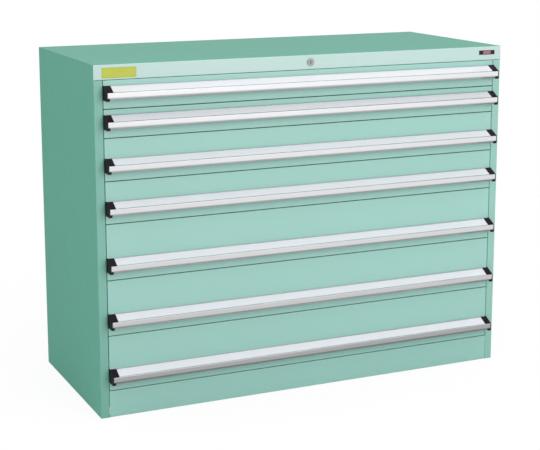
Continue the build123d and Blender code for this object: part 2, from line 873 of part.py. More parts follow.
def carcass_nodes():
    """The fixed nodes of the cabinet and its lock."""
    left = side_panel()
    return {
        "top_panel": [top_panel()],
        "side_panel_left": [left],
        "side_panel_right": [mirror(left, about=Plane.YZ)],
        "back_panel": [back_panel()],
        "bottom_panel": [bottom_panel()],
        "plinth_panel": [plinth_panel()],
        "base_rails": base_rails(),
        "rail_posts": rail_posts(),
        "fixed_rails": fixed_rails(),
        "lock_body": [lock_body()],
        "lock_plug": [lock_plug()],
        "lock_cam": [lock_cam()],
        "lock_link": [lock_link()],
        "bell_crank": [bell_crank()],
        "crank_bracket": [crank_bracket()],
        "lock_bar": lock_bar(),
        "name_plate": [name_plate()],
        "panel_screws": panel_screws(),
    }


os.makedirs("parts", exist_ok=True)
for name, shapes in {**carcass_nodes(), **drawer_nodes()}.items():
    node = Compound([solid for shape in shapes for solid in shape.solids()])
    node.label = name
    export_step(node, f"parts/{name}.step")

print(f"cabinet {cabinet_width} x {carcass_depth + pull_projection} x {cabinet_height} mm")
print(f"front plane y {front_y}, back y {back_y}, drawer travel {drawer_travel:.2f}")
print(f"lock travel {lock_travel:.4f}, crank turn {2 * degrees(half_crank):.4f} degrees")
print(f"crank pivot x {crank_x:.4f}, z {crank_z:.4f}, bar x {bar_x:.4f}, link z {link_z:.4f}")
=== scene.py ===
"""An industrial drawer cabinet: finishes, labels, light and camera around its fixed frame."""

import logging
import math
from abc import ABC, abstractmethod
from collections.abc import Iterable, Mapping, Sequence
from dataclasses import dataclass, field
from enum import Enum

import bmesh
import bpy
from mathutils import Euler, Matrix, Vector


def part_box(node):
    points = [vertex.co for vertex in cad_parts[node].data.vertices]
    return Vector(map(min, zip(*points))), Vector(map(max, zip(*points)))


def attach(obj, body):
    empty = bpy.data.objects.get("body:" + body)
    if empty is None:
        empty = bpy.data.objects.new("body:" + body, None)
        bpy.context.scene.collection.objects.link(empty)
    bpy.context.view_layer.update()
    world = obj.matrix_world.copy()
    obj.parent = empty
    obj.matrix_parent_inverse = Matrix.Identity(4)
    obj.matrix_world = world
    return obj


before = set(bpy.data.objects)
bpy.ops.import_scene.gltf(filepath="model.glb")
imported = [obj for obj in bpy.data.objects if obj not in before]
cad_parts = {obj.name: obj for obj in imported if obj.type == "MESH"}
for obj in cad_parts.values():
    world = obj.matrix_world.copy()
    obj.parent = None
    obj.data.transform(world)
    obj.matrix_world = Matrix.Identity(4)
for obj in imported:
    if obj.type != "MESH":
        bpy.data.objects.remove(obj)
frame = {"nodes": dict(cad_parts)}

LOG = logging.getLogger("drawer_cabinet")
DRAWER_COUNT = 7

# The display curve: a straight line up to its knee, and a power above it.
CURVE_KNEE = 0.04045
CURVE_SLOPE = 12.92
CURVE_OFFSET = 0.055
CURVE_POWER = 2.4

# The sockets of a Mix node for colours, by number because several share a name.
MIX_SHARE, MIX_FIRST, MIX_SECOND = 0, 6, 7
MIX_RESULT = 2

# How a thin plate's corners and edges are rounded, and how its edges are told apart.
CORNER_SEGMENTS = 5
EDGE_SEGMENTS = 2
LEVEL_RISE = 1e-9
SHARP_ANGLE = math.radians(60)

Colour = tuple[float, float, float]
Place = tuple[float, float, float]


class Surface(Enum):
    """The ways in which a sheet of the cabinet shows its coat."""

    FACE = "face"
    SHELL = "shell"
    INSIDE = "inside"


def linear(colour: Colour) -> tuple[float, float, float, float]:
    """Turns a display colour into the linear one that a shader takes.

    Args:
        colour: Red, green and blue as a screen shows them, from 0 to 1.

    Returns:
        The linear colour with an alpha of 1.
    """
    red, green, blue = (
        c / CURVE_SLOPE
        if c <= CURVE_KNEE
        else ((c + CURVE_OFFSET) / (1 + CURVE_OFFSET)) ** CURVE_POWER
        for c in colour
    )
    return (red, green, blue, 1.0)


class Signal:
    """A node's output, which Python's operators work on by adding Math nodes."""

    def __init__(self, graph: "Graph", socket: "bpy.types.NodeSocket | None") -> None:
        """Wraps a socket.

        Args:
            graph: The graph that new nodes go to.
            socket: The output that this stands for, or None for a node that has none.
        """
        self.graph = graph
        self.socket = socket

    def __add__(self, other: "Signal | float") -> "Signal":
        """This plus another value."""
        return self.graph.maths("ADD", self, other)

    def __radd__(self, other: float) -> "Signal":
        """Another value plus this."""
        return self.graph.maths("ADD", other, self)

    def __sub__(self, other: "Signal | float") -> "Signal":
        """This less another value."""
        return self.graph.maths("SUBTRACT", self, other)

    def __rsub__(self, other: float) -> "Signal":
        """Another value less this."""
        return self.graph.maths("SUBTRACT", other, self)

    def __mul__(self, other: "Signal | float") -> "Signal":
        """This times another value."""
        return self.graph.maths("MULTIPLY", self, other)

    def __rmul__(self, other: float) -> "Signal":
        """Another value times this."""
        return self.graph.maths("MULTIPLY", other, self)

    def __abs__(self) -> "Signal":
        """This without its sign."""
        return self.graph.maths("ABSOLUTE", self)

    def at_most(self, other: "Signal | float") -> "Signal":
        """The lower of this and another value."""
        return self.graph.maths("MINIMUM", self, other)

    def at_least(self, other: "Signal | float") -> "Signal":
        """The higher of this and another value."""
        return self.graph.maths("MAXIMUM", self, other)

    def above(self, other: "Signal | float") -> "Signal":
        """1 where this is above another value, else 0."""
        return self.graph.maths("GREATER_THAN", self, other)


class Graph:
    """The node graph of one material or world."""

    def __init__(self, tree: bpy.types.NodeTree) -> None:
        """Starts an empty graph.

        Args:
            tree: The tree to fill. What it holds is removed.
        """
        self.tree = tree
        tree.nodes.clear()

    def node(
        self,
        kind: str,
        settings: Mapping[str, object] | None = None,
        inputs: Mapping[str | int, object] | None = None,
        output: str | int = 0,
    ) -> Signal:
        """Adds any node.

        Args:
            kind: The node's type, such as ShaderNodeTexNoise.
            settings: Properties that are set first, such as a Math node's operation.
            inputs: A value or a signal for each named or numbered input.
            output: The name or number of the output that the signal stands for.

        Returns:
            The chosen output.
        """
        made = self.tree.nodes.new(kind)
        for name, value in (settings or {}).items():
            setattr(made, name, value)
        for name, value in (inputs or {}).items():
            self._feed(made.inputs[name], value)
        return Signal(self, made.outputs[output] if len(made.outputs) else None)

    def maths(self, operation: str, *values: "Signal | float") -> Signal:
        """Adds a Math node on one or more values."""
        return self.node("ShaderNodeMath", {"operation": operation}, dict(enumerate(values)))

    def mix(self, share: "Signal | float", first: object, second: object) -> Signal:
        """Mixes two colours, by the share that the second has."""
        inputs = {MIX_SHARE: share, MIX_FIRST: first, MIX_SECOND: second}
        return self.node("ShaderNodeMix", {"data_type": "RGBA"}, inputs, output=MIX_RESULT)

    def ramp(
        self, value: Signal, across: tuple[float, float], ends: tuple[float, float]
    ) -> Signal:
        """A smooth change from one level to another as a value crosses a stretch.

        Args:
            value: What the level depends on.
            across: The values at which the stretch starts and ends.
            ends: The levels there.

        Returns:
            The level.
        """
        inputs = {
            "Value": value,
            "From Min": across[0],
            "From Max": across[1],
            "To Min": ends[0],
            "To Max": ends[1],
        }
        return self.node("ShaderNodeMapRange", {"interpolation_type": "SMOOTHSTEP"}, inputs)

    def place(self, centre: Place = (0, 0, 0), scale: Place = (1, 1, 1)) -> Signal:
        """Object coordinates about a centre, stretched along each axis.

        Args:
            centre: The point that becomes the pattern's own origin.
            scale: How much each axis is multiplied by.

        Returns:
            The coordinates as a vector.
        """
        here = self.node("ShaderNodeTexCoord", output="Object")
        shift = tuple(-c * s for c, s in zip(centre, scale))
        inputs = {"Vector": here, "Location": shift, "Scale": scale}
        return self.node("ShaderNodeMapping", None, inputs)

    def axis(self, where: Signal, letter: str) -> Signal:
        """A place's coordinate along X, Y or Z."""
        return self.node("ShaderNodeSeparateXYZ", None, {0: where}, output=letter)

    def distance(self, where: Signal) -> Signal:
        """How far a place lies from its origin."""
        settings = {"operation": "LENGTH"}
        return self.node("ShaderNodeVectorMath", settings, {0: where}, output="Value")

    def noise(self, scale: float, where: Signal | None = None, detail: float = 2.0) -> Signal:
        """Soft noise with so many cells a metre, from 0 to 1."""
        inputs = {"Vector": where or self.place(), "Scale": scale, "Detail": detail}
        return self.node("ShaderNodeTexNoise", None, inputs)

    def bump(self, height: Signal) -> Signal:
        """A normal from a height in metres."""
        inputs = {"Strength": 1.0, "Distance": 1.0, "Height": height}
        return self.node("ShaderNodeBump", None, inputs)

    def rays(self) -> tuple[Signal, Signal]:
        """Tells by which rays the shader is asked.

        Returns:
            1 for a ray of the camera, and 1 for one of a reflection or through glass.
        """
        camera, glossy, through = [
            self.node("ShaderNodeLightPath", output=name)
            for name in ("Is Camera Ray", "Is Glossy Ray", "Is Transmission Ray")
        ]
        return camera, glossy.at_least(through)

    def surface(self, shader: Signal) -> None:
        """Ends a material in its output node."""
        self.node("ShaderNodeOutputMaterial", None, {"Surface": shader})

    def _feed(self, socket: bpy.types.NodeSocket, value: object) -> None:
        """Links a signal to an input, or sets the input's own value.

        Args:
            socket: The input.
            value: The signal or the value.
        """
        if isinstance(value, Signal):
            self.tree.links.new(value.socket, socket)
        else:
            socket.default_value = value


@dataclass(frozen=True)
class Finish(ABC):
    """What every finish has.

    Attributes:
        name: The material's name.
        colour: Its display colour.
        roughness: Its roughness, from which the patterns depart.
    """

    name: str
    colour: Colour
    roughness: float

    def material(self) -> bpy.types.Material:
        """Gives the finish as a material, and makes it the first time.

        Returns:
            The material.
        """
        made = bpy.data.materials.get(self.name)
        if made is None:
            made = bpy.data.materials.new(self.name)
            made.use_nodes = True
            graph = Graph(made.node_tree)
            graph.surface(graph.node("ShaderNodeBsdfPrincipled", None, self.sockets(graph)))
            made.diffuse_color = linear(self.colour)
        return made

    @abstractmethod
    def sockets(self, graph: Graph) -> dict[str | int, object]:
        """What the shader's sockets get, as values or signals."""

    def tinted(self, graph: Graph, share: Signal, change: float) -> Signal:
        """The base colour, made so much lighter where the share is 1 and darker where it is 0.

        Args:
            graph: The graph to add to.
            share: A signal from 0 to 1.
            change: The largest change, as a share of the colour.

        Returns:
            The varied colour.
        """
        base = linear(self.colour)
        dark = tuple(c * (1 - change) for c in base[:3]) + (1.0,)
        light = tuple(min(1.0, c * (1 + change)) for c in base[:3]) + (1.0,)
        return graph.mix(share, dark, light)

    def dulled(self, share: Signal, change: tuple[float, float]) -> Signal:
        """The roughness, changed by the first amount where the share is 0 and the second at 1."""
        return self.roughness + change[0] + (change[1] - change[0]) * share


@dataclass(frozen=True)
class PowderCoat(Finish):
    """A satin powder coat on folded sheet, with its fine skin and a slight wave of the sheet.

    Attributes:
        grain: Cells of the skin in a metre.
        grain_depth: How deep the skin is, in metres.
        wave: Waves of the sheet in a metre.
        wave_depth: How deep they are, in metres.
        cloud: Clouds of the colour in a metre.
        speck: Specks of the colour in a metre.
        speck_share: The specks' share of the colour's change. The clouds have the rest.
        mottle: How far the colour varies, as a share.
        rub: Duller patches in a metre.
        rub_change: How far the roughness falls outside a patch and rises in it.
        gloss: The shader's specular level.
    """

    grain: float = 420.0
    grain_depth: float = 0.00002
    wave: float = 3.2
    wave_depth: float = 0.0009
    cloud: float = 2.6
    speck: float = 180.0
    speck_share: float = 0.25
    mottle: float = 0.035
    rub: float = 22.0
    rub_change: tuple[float, float] = (-0.06, 0.06)
    gloss: float = 1.0

    def sockets(self, graph: Graph) -> dict[str | int, object]:
        """Gives a coloured skin with its grain, over a sheet that isn't quite flat.

        Args:
            graph: The graph to add to.

        Returns:
            A value or a signal for each socket.
        """
        cloud = graph.noise(self.cloud, detail=3.0)
        speck = graph.noise(self.speck, detail=1.0)
        share = (1 - self.speck_share) * cloud + self.speck_share * speck
        sheet = self.wave_depth * graph.noise(self.wave, detail=0.0)
        skin = self.grain_depth * graph.noise(self.grain, detail=1.0)
        return {
            "Base Color": self.tinted(graph, share, self.mottle),
            "Roughness": self.dulled(graph.noise(self.rub), self.rub_change),
            "Normal": graph.bump(sheet + skin),
            "Specular IOR Level": self.gloss,
        }


@dataclass(frozen=True)
class PaintedLightFoldCoat(PowderCoat):
    """A powder coat whose face, folded round to the front, gets painted light or shade: a paler
    or darker copy of the same paint.

    Attributes:
        fold_light_and_shade: The display colour of that face: the sheet's own paint with a
            painted sheen or painted shade.
        front: Where that face lies along Y.
        face_depth: How far behind it the sheet's own colour starts, in metres.
    """

    fold_light_and_shade: Colour = field(kw_only=True)
    front: float = field(kw_only=True)
    face_depth: float = 0.0006

    def sockets(self, graph: Graph) -> dict[str | int, object]:
        """Gives the same skin, with a painted sheen or painted shade on the front face.

        Args:
            graph: The graph to add to.

        Returns:
            A value or a signal for each socket.
        """
        made = super().sockets(graph)
        # Painted light and shade: the front face gets a paler or darker copy of the sheet's
        # paint, and the rest of the sheet its own colour.
        behind_painted_fold = graph.axis(graph.place(), "Y").above(self.front + self.face_depth)
        made["Base Color"] = graph.mix(behind_painted_fold, linear(self.fold_light_and_shade), made["Base Color"])
        return made


@dataclass(frozen=True)
class DrawnMetal(Finish):
    """Metal with fine lines along one axis, as an extrusion, a drawn bar or a turned tread has.

    Attributes:
        stretch: Cells of the lines in a metre along each axis.
        line_depth: How deep the lines are, in metres.
        line_change: How far the roughness falls between the lines and rises on them.
        cloud: Clouds of the colour in a metre.
        cloud_share: The clouds' share of the colour's change. The lines have the rest.
        sheen: How far the colour varies, as a share.
    """

    stretch: Place = (3.0, 1400.0, 1400.0)
    line_depth: float = 0.000004
    line_change: tuple[float, float] = (-0.08, 0.08)
    cloud: float = 9.0
    cloud_share: float = 0.4
    sheen: float = 0.05

    def sockets(self, graph: Graph) -> dict[str | int, object]:
        """Gives bare or anodised metal whose lines catch the light.

        Args:
            graph: The graph to add to.

        Returns:
            A value or a signal for each socket.
        """
        lines = graph.noise(scale=1.0, where=graph.place(scale=self.stretch), detail=3.0)
        cloud = graph.noise(self.cloud)
        share = (1 - self.cloud_share) * lines + self.cloud_share * cloud
        return {
            "Base Color": self.tinted(graph, share, self.sheen),
            "Metallic": 1.0,
            "Roughness": self.dulled(lines, self.line_change),
            "Normal": graph.bump(self.line_depth * lines),
        }


@dataclass(frozen=True)
class ZincPlate(Finish):
    """Zinc plating, with a faint bloom and a warm and a cool tint in patches.

    Attributes:
        warm: The tint of the warm patches.
        bloom: Patches in a metre.
        bloom_change: How far the roughness falls in a cool patch and rises in a warm one.
        crystal: Crystals in a metre.
        crystal_depth: How deep they are, in metres.
        crystal_change: How far they raise the roughness.
    """

    warm: Colour = (0.84, 0.82, 0.74)
    bloom: float = 46.0
    bloom_change: tuple[float, float] = (-0.1, 0.04)
    crystal: float = 760.0
    crystal_depth: float = 0.000006
    crystal_change: float = 0.08

    def sockets(self, graph: Graph) -> dict[str | int, object]:
        """Gives plated steel in soft patches.

        Args:
            graph: The graph to add to.

        Returns:
            A value or a signal for each socket.
        """
        patch = graph.noise(self.bloom, detail=4.0)
        crystal = graph.noise(self.crystal, detail=1.0)
        return {
            "Base Color": graph.mix(patch, linear(self.colour), linear(self.warm)),
            "Metallic": 1.0,
            "Roughness": self.dulled(patch, self.bloom_change) + self.crystal_change * crystal,
            "Normal": graph.bump(self.crystal_depth * crystal),
        }


@dataclass(frozen=True)
class MouldedPlastic(Finish):
    """Moulded plastic with a fine spark-eroded grain.

    Attributes:
        grain: Cells of the grain in a metre.
        grain_depth: How deep it is, in metres.
        handling: Handled patches in a metre.
        handling_tint: How far the colour varies with them, as a share.
        handling_change: How far the roughness falls outside a patch and rises in it.
        gloss: The shader's specular level.
    """

    grain: float = 1100.0
    grain_depth: float = 0.000012
    handling: float = 35.0
    handling_tint: float = 0.2
    handling_change: tuple[float, float] = (-0.05, 0.09)
    gloss: float = 0.15

    def sockets(self, graph: Graph) -> dict[str | int, object]:
        """Gives a dark moulding, a little paler and duller where it is handled.

        Args:
            graph: The graph to add to.

        Returns:
            A value or a signal for each socket.
        """
        handled = graph.noise(self.handling)
        return {
            "Base Color": self.tinted(graph, handled, self.handling_tint),
            "Roughness": self.dulled(handled, self.handling_change),
            "Normal": graph.bump(self.grain_depth * graph.noise(self.grain)),
            "Specular IOR Level": self.gloss,
        }


@dataclass(frozen=True)
class PolishedChrome(Finish):
    """Chrome plating with faint turning marks about an axis along Y.

    Attributes:
        centre: A point on that axis.
        marks: Turning marks in a metre of radius.
        mark_depth: How deep they are, in metres.
        haze: Patches of haze in a metre.
        haze_tint: How far the colour varies with them, as a share.
        haze_change: How far the roughness rises outside a patch and in it.
    """

    centre: Place
    marks: float = 2600.0
    mark_depth: float = 0.0000005
    haze: float = 240.0
    haze_tint: float = 0.05
    haze_change: tuple[float, float] = (0.0, 0.06)

    def sockets(self, graph: Graph) -> dict[str | int, object]:
        """Gives bright metal with rings that show only in its reflections.

        Args:
            graph: The graph to add to.

        Returns:
            A value or a signal for each socket.
        """
        radius = graph.distance(graph.place(self.centre))
        ring = graph.maths("SINE", radius * (self.marks * math.tau))
        haze = graph.noise(self.haze)
        return {
            "Base Color": self.tinted(graph, haze, self.haze_tint),
            "Metallic": 1.0,
            "Roughness": self.dulled(haze, self.haze_change),
            "Normal": graph.bump(self.mark_depth * ring),
        }


@dataclass(frozen=True)
class CoveredPaper(Finish):
    """Paper under a clear cover, with the fibres of the sheet below and a glossy top.

    Attributes:
        fibre: Cells of the fibres in a metre.
        fibre_change: How far the roughness falls between the fibres and rises on them.
        cloud: Clouds of the colour in a metre.
        cloud_share: The clouds' share of the colour's change. The fibres have the rest.
        mottle: How far the colour varies, as a share.
        ripple: Ripples of the cover in a metre.
        ripple_depth: How deep they are, in metres.
        cover_roughness: How rough the cover is.
        cover_index: Its index of refraction.
    """

    fibre: float = 900.0
    fibre_change: tuple[float, float] = (-0.04, 0.04)
    cloud: float = 14.0
    cloud_share: float = 0.5
    mottle: float = 0.03
    ripple: float = 24.0
    ripple_depth: float = 0.00002
    cover_roughness: float = 0.06
    cover_index: float = 1.5

    def sockets(self, graph: Graph) -> dict[str | int, object]:
        """Gives a matt sheet that its cover makes shine.

        Args:
            graph: The graph to add to.

        Returns:
            A value or a signal for each socket.
        """
        fibre = graph.noise(self.fibre, detail=3.0)
        cloud = graph.noise(self.cloud)
        share = (1 - self.cloud_share) * fibre + self.cloud_share * cloud
        ripple = graph.noise(self.ripple, detail=1.0)
        return {
            "Base Color": self.tinted(graph, share, self.mottle),
            "Roughness": self.dulled(fibre, self.fibre_change),
            "Normal": graph.bump(self.ripple_depth * ripple),
            "Coat Weight": 1.0,
            "Coat Roughness": self.cover_roughness,
            "Coat IOR": self.cover_index,
        }


@dataclass(frozen=True)
class PlainLabel(Finish):
    """A self-adhesive label with a thin line round its edge and nothing written on it.

    Attributes:
        centre: The middle of the label.
        half: Half its width and half its height, in metres.
        line: The colour of the edge line.
        line_cover: How far the line covers the label's own colour.
        line_inset: How far inside the edge the line runs, in metres.
        line_width: How wide it is, in metres.
        film: Patches of dust in a metre.
        film_tint: How far the colour varies with them, as a share.
        film_change: How far the roughness falls outside a patch and rises in it.
        skin: Cells of the vinyl's skin in a metre.
        skin_depth: How deep it is, in metres.
    """

    centre: Place
    half: tuple[float, float]
    line: Colour = (0.5, 0.5, 0.16)
    line_cover: float = 0.8
    line_inset: float = 0.0016
    line_width: float = 0.0006
    film: float = 60.0
    film_tint: float = 0.06
    film_change: tuple[float, float] = (-0.05, 0.05)
    skin: float = 500.0
    skin_depth: float = 0.000008

    def sockets(self, graph: Graph) -> dict[str | int, object]:
        """Gives printed vinyl with a faint film of dust.

        Args:
            graph: The graph to add to.

        Returns:
            A value or a signal for each socket.
        """
        here = graph.place(self.centre)
        across = self.half[0] - abs(graph.axis(here, "X"))
        down = self.half[1] - abs(graph.axis(here, "Z"))
        edge = across.at_most(down)
        line = edge.above(self.line_inset) * (1 - edge.above(self.line_inset + self.line_width))
        film = graph.noise(self.film, detail=3.0)
        vinyl = self.tinted(graph, film, self.film_tint)
        skin = graph.noise(self.skin, detail=1.0)
        return {
            "Base Color": graph.mix(self.line_cover * line, vinyl, linear(self.line)),
            "Roughness": self.dulled(film, self.film_change),
            "Normal": graph.bump(self.skin_depth * skin),
        }


@dataclass(frozen=True)
class TwoTonePlate(Finish):
    """A dark enamelled plate with a plain field of another colour in its middle.

    Attributes:
        centre: The middle of the plate.
        field_half: Half the field's width and half its height, in metres.
        field_colour: The colour of the field.
        haze: Patches of haze in a metre.
        haze_tint: How far the enamel's colour varies with them, as a share.
        haze_change: How far the roughness rises outside a patch and in it.
        haze_depth: How deep they are, in metres.
        gloss: The shader's specular level.
    """

    centre: Place
    field_half: tuple[float, float]
    field_colour: Colour = (0.56, 0.36, 0.38)
    haze: float = 120.0
    haze_tint: float = 0.1
    haze_change: tuple[float, float] = (0.0, 0.05)
    haze_depth: float = 0.000006
    gloss: float = 0.3

    def sockets(self, graph: Graph) -> dict[str | int, object]:
        """Gives gloss enamel in two colours.

        Args:
            graph: The graph to add to.

        Returns:
            A value or a signal for each socket.
        """
        here = graph.place(self.centre)
        across = 1 - abs(graph.axis(here, "X")).above(self.field_half[0])
        down = 1 - abs(graph.axis(here, "Z")).above(self.field_half[1])
        haze = graph.noise(self.haze)
        enamel = self.tinted(graph, haze, self.haze_tint)
        return {
            "Base Color": graph.mix(across * down, enamel, linear(self.field_colour)),
            "Roughness": self.dulled(haze, self.haze_change),
            "Normal": graph.bump(self.haze_depth * haze),
            "Specular IOR Level": self.gloss,
        }


@dataclass(frozen=True)
class Coats:
    """The finishes that the cabinet's pieces share.

    Attributes:
        shell: The coat of the shell.
        face: The coat of the drawer fronts and the plinth: the shell's paint made paler, as a
            painted sheen.
        inside: The coat of the drawer boxes.
        extrusion: The pulls' anodised aluminium.
        tread: The rollers' turned steel.
        zinc: The plating of the rails, the uprights, the screws and the lock's inner parts.
        cap: The plastic of the pulls' end caps.
        paper: The label strips under their cover.
    """

    shell: Finish = PowderCoat("shell_coat", (0.406, 0.704, 0.62), 0.36)
    # Painted sheen: the face coat is a paler copy of the shell's paint, for the front-facing
    # sheets.
    face: Finish = PowderCoat(
        "front_coat", (0.512, 0.693, 0.654), 0.34, wave=2.4, wave_depth=0.0007
    )
    inside: Finish = PowderCoat("box_coat", (0.45, 0.7, 0.64), 0.42, wave=4.0)
    extrusion: Finish = DrawnMetal("pull_anodised", (0.84, 0.842, 0.847), 0.34)
    tread: Finish = DrawnMetal(
        "roller_tread", (0.72, 0.72, 0.73), 0.26, stretch=(2600.0, 4.0, 4.0), line_depth=0.000003
    )
    zinc: Finish = ZincPlate("zinc_plate", (0.78, 0.79, 0.81), 0.36)
    cap: Finish = MouldedPlastic("cap_moulding", (0.12, 0.07, 0.11), 0.4)
    paper: Finish = CoveredPaper("label_paper", (0.835, 0.835, 0.86), 0.5)

    def sheet(self, surface: Surface) -> Finish:
        """The coat of a sheet that shows in a certain way."""
        coats = {Surface.FACE: self.face, Surface.SHELL: self.shell, Surface.INSIDE: self.inside}
        return coats[surface]


class Dresser:
    """Gives pieces their finishes, and keeps a list of what it has dressed."""

    def __init__(self, nodes: Mapping[str, bpy.types.Object]) -> None:
        """Keeps the frame's nodes.

        Args:
            nodes: The frame's objects by node name.
        """
        self.nodes = nodes
        self.dressed: list[str] = []

    def dress(self, names: Iterable[str], finish: Finish) -> None:
        """Gives a finish to nodes of the frame.

        Args:
            names: The nodes.
            finish: The finish that all of them get.
        """
        for name in names:
            self.coat(self.nodes[name], finish)
            self.dressed.append(name)
            LOG.info("%s has %s", name, finish.name)

    @staticmethod
    def coat(piece: bpy.types.Object, finish: Finish) -> None:
        """Gives a finish to every slot of a piece's mesh.

        Args:
            piece: The piece, which gets a slot if it has none.
            finish: The finish.
        """
        mesh = piece.data
        if not len(mesh.materials):
            mesh.materials.append(None)
        for index in range(len(mesh.materials)):
            mesh.materials[index] = finish.material()

    def left_bare(self) -> list[str]:
        """The nodes that no finish was given to."""
        return sorted(set(self.nodes) - set(self.dressed))


def rise_along_y(edge: bmesh.types.BMEdge) -> float:
    """How far apart an edge's ends lie along Y."""
    return abs(edge.verts[0].co.y - edge.verts[1].co.y)


def thin_plate(
    name: str, size: Place, corner: float, edge: float, place: Matrix
) -> bpy.types.Object:
    """Makes a thin plate with rounded corners and softened edges.

    Args:
        name: The piece's name.
        size: Its size along X, Y and Z before it is placed, with Y its thickness.
        corner: The radius of its four corners, seen along Y.
        edge: The radius of its edges.
        place: Where the plate's middle goes, and how it is turned.

    Returns:
        The piece, with its place in its mesh.
    """
    shape = bmesh.new()
    bmesh.ops.create_cube(shape, size=1.0)
    bmesh.ops.scale(shape, vec=Vector(size), verts=shape.verts[:])
    corners = [e for e in shape.edges if rise_along_y(e) > LEVEL_RISE]
    bmesh.ops.bevel(
        shape, geom=corners, offset=corner, segments=CORNER_SEGMENTS,
        profile=0.5, affect="EDGES", material=-1,
    )
    rims = [
        e
        for e in shape.edges
        if rise_along_y(e) < LEVEL_RISE
        and len(e.link_faces) == 2
        and e.calc_face_angle(0.0) > SHARP_ANGLE
    ]
    bmesh.ops.bevel(
        shape, geom=rims, offset=edge, segments=EDGE_SEGMENTS,
        profile=0.5, affect="EDGES", material=-1,
    )
    bmesh.ops.transform(shape, matrix=place, verts=shape.verts[:])
    bmesh.ops.recalc_face_normals(shape, faces=shape.faces[:])
    mesh = bpy.data.meshes.new(name)
    shape.to_mesh(mesh)
    shape.free()
    piece = bpy.data.objects.new(name, mesh)
    bpy.context.scene.collection.objects.link(piece)
    return piece


@dataclass
class Assembly(ABC):
    """What every group of the cabinet's pieces has.

    Attributes:
        dresser: What gives its pieces their finishes.
        coats: The finishes that it shares with the others.
    """

    dresser: Dresser
    coats: Coats

    @abstractmethod
    def build(self) -> list[bpy.types.Object]:
        """Dresses the group's nodes and makes the pieces that the frame doesn't hold."""


@dataclass
class Carcass(Assembly):
    """The folded shell, its floor and rails, and the label and the plate on its header.

    Attributes:
        notice_width: Width of the yellow label.
        notice_height: Its height.
        notice_sheet: Its thickness.
        notice_corner: The radius of its corners.
        notice_edge: The radius of its edges.
        notice_left: How far its edge stands from the cabinet's left side.
        notice_top: How far it stands below the cabinet's top.
        plate_field: The width and height of the name plate's field, as shares of half the plate.
        header_painted_sheen: The display colour of the header: a paler copy of the shell's paint,
            as a painted sheen.
        left_stile_painted_shade: That of the left side's folded edge: a darker copy of the
            shell's paint, as painted shade.
        right_stile_painted_sheen: That of the right side's: a paler copy of the shell's paint, as
            a painted sheen.
        shell_nodes: The nodes that have the shell's coat all over.
        plated_nodes: The nodes that are zinc plated.
    """

    notice_width: float = 0.099
    notice_height: float = 0.029
    notice_sheet: float = 0.0002
    notice_corner: float = 0.0015
    notice_edge: float = 0.00005
    notice_left: float = 0.023
    notice_top: float = 0.0085
    plate_field: tuple[float, float] = (0.48, 0.72)
    # Painted light and shade on the one shell paint: the header and the right stile are paler as
    # a painted sheen, the left stile darker as painted shade.
    header_painted_sheen: Colour = (0.62, 0.718, 0.7)
    left_stile_painted_shade: Colour = (0.382, 0.607, 0.548)
    right_stile_painted_sheen: Colour = (0.475, 0.662, 0.618)
    shell_nodes: tuple[str, ...] = ("back_panel", "bottom_panel", "base_rails")
    plated_nodes: tuple[str, ...] = ("rail_posts", "fixed_rails", "panel_screws")

    def build(self) -> list[bpy.types.Object]:
        """Dresses the carcass and sticks the yellow label on.

        Returns:
            The yellow label.
        """
        # The front folds get painted light or shade: a painted sheen on the header and right
        # stile, painted shade on the left stile.
        painted_folds = {
            "top_panel": self.header_painted_sheen,
            "side_panel_left": self.left_stile_painted_shade,
            "side_panel_right": self.right_stile_painted_sheen,
        }
        self.dresser.dress(self.shell_nodes, self.coats.sheet(Surface.SHELL))
        # The plinth gets the paler face coat, with its painted sheen.
        self.dresser.dress(["plinth_panel"], self.coats.sheet(Surface.FACE))
        for node, fold_light_and_shade in painted_folds.items():
            self.dresser.dress([node], self.painted_fold_finish(node, fold_light_and_shade))
        self.dresser.dress(self.plated_nodes, self.coats.zinc)
        self.dresser.dress(["name_plate"], self.plate_finish())
        return [self.notice_label()]

    def painted_fold_finish(self, node: str, fold_light_and_shade: Colour) -> Finish:
        """The shell's coat for a sheet whose front fold has a painted sheen or painted shade.

        Args:
            node: The sheet's node.
            fold_light_and_shade: The display colour of its front fold, with the painted sheen or
                painted shade.

        Returns:
            The sheet's finish.
        """
        shell = self.coats.sheet(Surface.SHELL)
        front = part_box(node)[0].y
        return PaintedLightFoldCoat(
            f"{node}_coat", shell.colour, shell.roughness, fold_light_and_shade=fold_light_and_shade, front=front
        )

    def plate_finish(self) -> Finish:
        """The name plate's two plain colours.

        Returns:
            The plate's finish.
        """
        low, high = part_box("name_plate")
        half = (high - low) / 2
        wide, tall = self.plate_field
        return TwoTonePlate(
            "plate_enamel", colour=(0.07, 0.06, 0.07), roughness=0.3,
            centre=tuple((low + high) / 2), field_half=(half.x * wide, half.z * tall),
        )

    def notice_label(self) -> bpy.types.Object:
        """The yellow label at the left of the header, with nothing on it.

        Returns:
            The label.
        """
        low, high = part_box("top_panel")
        middle = Vector((
            low.x + self.notice_left + self.notice_width / 2,
            low.y - self.notice_sheet / 2,
            high.z - self.notice_top - self.notice_height / 2,
        ))
        label = thin_plate(
            "notice_label",
            (self.notice_width, self.notice_sheet, self.notice_height),
            self.notice_corner, self.notice_edge, Matrix.Translation(middle),
        )
        finish = PlainLabel(
            "notice_vinyl", colour=(0.63, 0.66, 0.2), roughness=0.42, centre=tuple(middle),
            half=(self.notice_width / 2, self.notice_height / 2),
        )
        self.dresser.coat(label, finish)
        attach(label, "cabinet")
        return label


